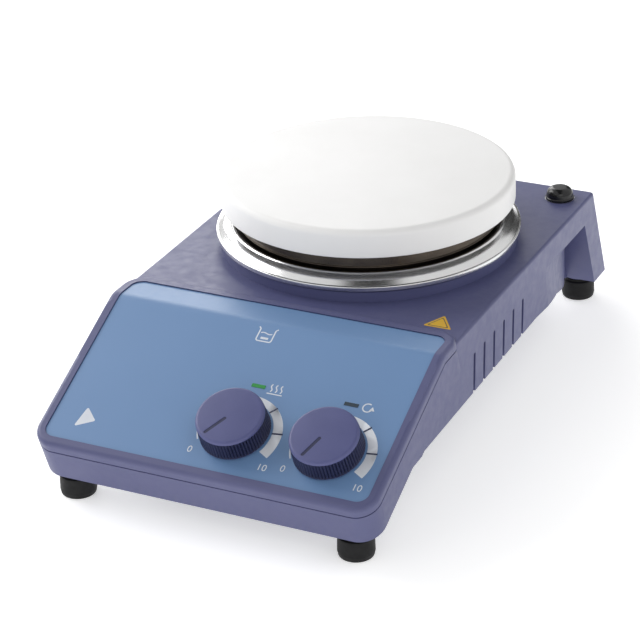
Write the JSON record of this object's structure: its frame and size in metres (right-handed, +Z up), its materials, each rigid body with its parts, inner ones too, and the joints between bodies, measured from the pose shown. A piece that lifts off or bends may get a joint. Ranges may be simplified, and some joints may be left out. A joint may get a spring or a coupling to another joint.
{
  "type": "hot-plate magnetic stirrer",
  "caption": "Analog hot-plate magnetic stirrer: round white work plate over a polished drip ring, sloped blue control panel with heat and stir knobs, raked rear legs.",
  "frame": {"origin": "centre of the bounding box's bottom face, on the table under the middle of the object", "axes": "+X to the right seen from the control panel, +Y to the rear, +Z up"},
  "size_m": [0.1598, 0.2836, 0.097],
  "materials": {
    "housing_paint": "semi-gloss slate-blue paint with a fine orange peel",
    "overlay_blue": "satin sky-blue printed sheet",
    "knob_plastic": "satin moulded slate-violet plastic",
    "white_ceramic": "smooth white ceramic coating",
    "polished_steel": "mirror-polished stainless steel",
    "shield_steel": "stainless sheet darkened by heat",
    "cover_steel": "dark powder-coated sheet steel",
    "black_rubber": "black moulded rubber",
    "black_plastic": "black moulded plastic",
    "rocker_red": "glossy red plastic",
    "zinc_screws": "zinc-plated steel",
    "bare_aluminium": "extruded aluminium",
    "lamination_steel": "stacked electrical steel",
    "coil_tape": "yellow winding tape",
    "bronze": "bronze and brass",
    "circuit_board": "green solder mask",
    "capacitor_film": "yellow film-capacitor case",
    "terminal_green": "green terminal plastic",
    "heater_sheath": "oxidised stainless sheath",
    "insulation_fibre": "pressed mica and fibre",
    "steatite": "unglazed steatite",
    "ferrite": "ground ferrite",
    "lamp_green": "clear green light pipe",
    "lamp_dark": "unlit smoked light pipe",
    "fuse_glass": "clear glass tube"
  },
  "bodies": {
    "base": {"top_housing": "housing_paint", "bottom_cover": "cover_steel", "cover_screws": "zinc_screws", "control_overlay": "overlay_blue", "pot_nuts": "zinc_screws", "control_board": "circuit_board", "board_standoffs": "zinc_screws", "power_board": "circuit_board", "power_board_posts": "black_plastic", "relay": "black_plastic", "capacitor": "capacitor_film", "terminal_block": "terminal_green", "triac_heatsink": "bare_aluminium", "motor_stator": "lamination_steel", "motor_coil": "coil_tape", "motor_brackets": "zinc_screws", "motor_bushes": "bronze", "motor_mounts": "black_rubber", "motor_screws": "zinc_screws", "hot_plate": "white_ceramic", "heating_element": "heater_sheath", "insulation_disc": "insulation_fibre", "heat_shield": "shield_steel", "drip_ring": "polished_steel", "plate_spacers": "steatite", "plate_screws": "zinc_screws", "temperature_sensor": "heater_sheath", "thermal_cutout": "steatite", "power_inlet": "black_plastic", "inlet_pins": "bronze", "inlet_screws": "zinc_screws", "fuse_holder": "black_plastic", "power_switch_frame": "black_plastic", "rod_socket": "zinc_screws", "foot_screws": "zinc_screws", "earth_stud": "bronze", "heat_potentiometer": "zinc_screws", "stir_potentiometer": "zinc_screws", "heat_lamp": "lamp_green", "stir_lamp": "lamp_dark", "foot_front_left": "black_rubber", "foot_front_right": "black_rubber", "foot_rear_left": "black_rubber", "foot_rear_right": "black_rubber"},
    "heat_knob": {"heat_knob": "knob_plastic", "heat_knob_shaft": "zinc_screws"},
    "stir_knob": {"stir_knob": "knob_plastic", "stir_knob_shaft": "zinc_screws"},
    "rotor": {"motor_shaft": "zinc_screws", "motor_rotor": "lamination_steel", "magnet_carrier": "zinc_screws", "drive_magnets": "ferrite"},
    "power_rocker": {"power_rocker": "rocker_red"},
    "fuse_cap": {"fuse_cap": "black_plastic", "fuse_link": "fuse_glass"},
    "socket_cap": {"socket_cap": "black_rubber"}
  },
  "joints": [
    {"name": "heat_knob_turn", "type": "hinge", "parent": "base", "child": "heat_knob", "pos_m": [0.0074, -0.11836, 0.04107], "axis": [0, -0.4242, 0.9056], "range_deg": [-300, 0]},
    {"name": "stir_knob_turn", "type": "hinge", "parent": "base", "child": "stir_knob", "pos_m": [0.0505, -0.11836, 0.04107], "axis": [0, -0.4242, 0.9056], "range_deg": [-300, 0]},
    {"name": "rotor_spin", "type": "hinge", "parent": "base", "child": "rotor", "pos_m": [0, 0.033, 0.055], "axis": [0, 0, 1], "continuous": true},
    {"name": "power_switch_rock", "type": "hinge", "parent": "base", "child": "power_rocker", "pos_m": [0.02, 0.12, 0.045], "axis": [1, 0, 0], "range_deg": [0, 16]},
    {"name": "fuse_cap_pull", "type": "slide", "parent": "base", "child": "fuse_cap", "axis": [0, 1, 0], "range_m": [0, 0.045]},
    {"name": "socket_cap_lift", "type": "slide", "parent": "base", "child": "socket_cap", "axis": [0, 0, 1], "range_m": [0, 0.03]}
  ]
}
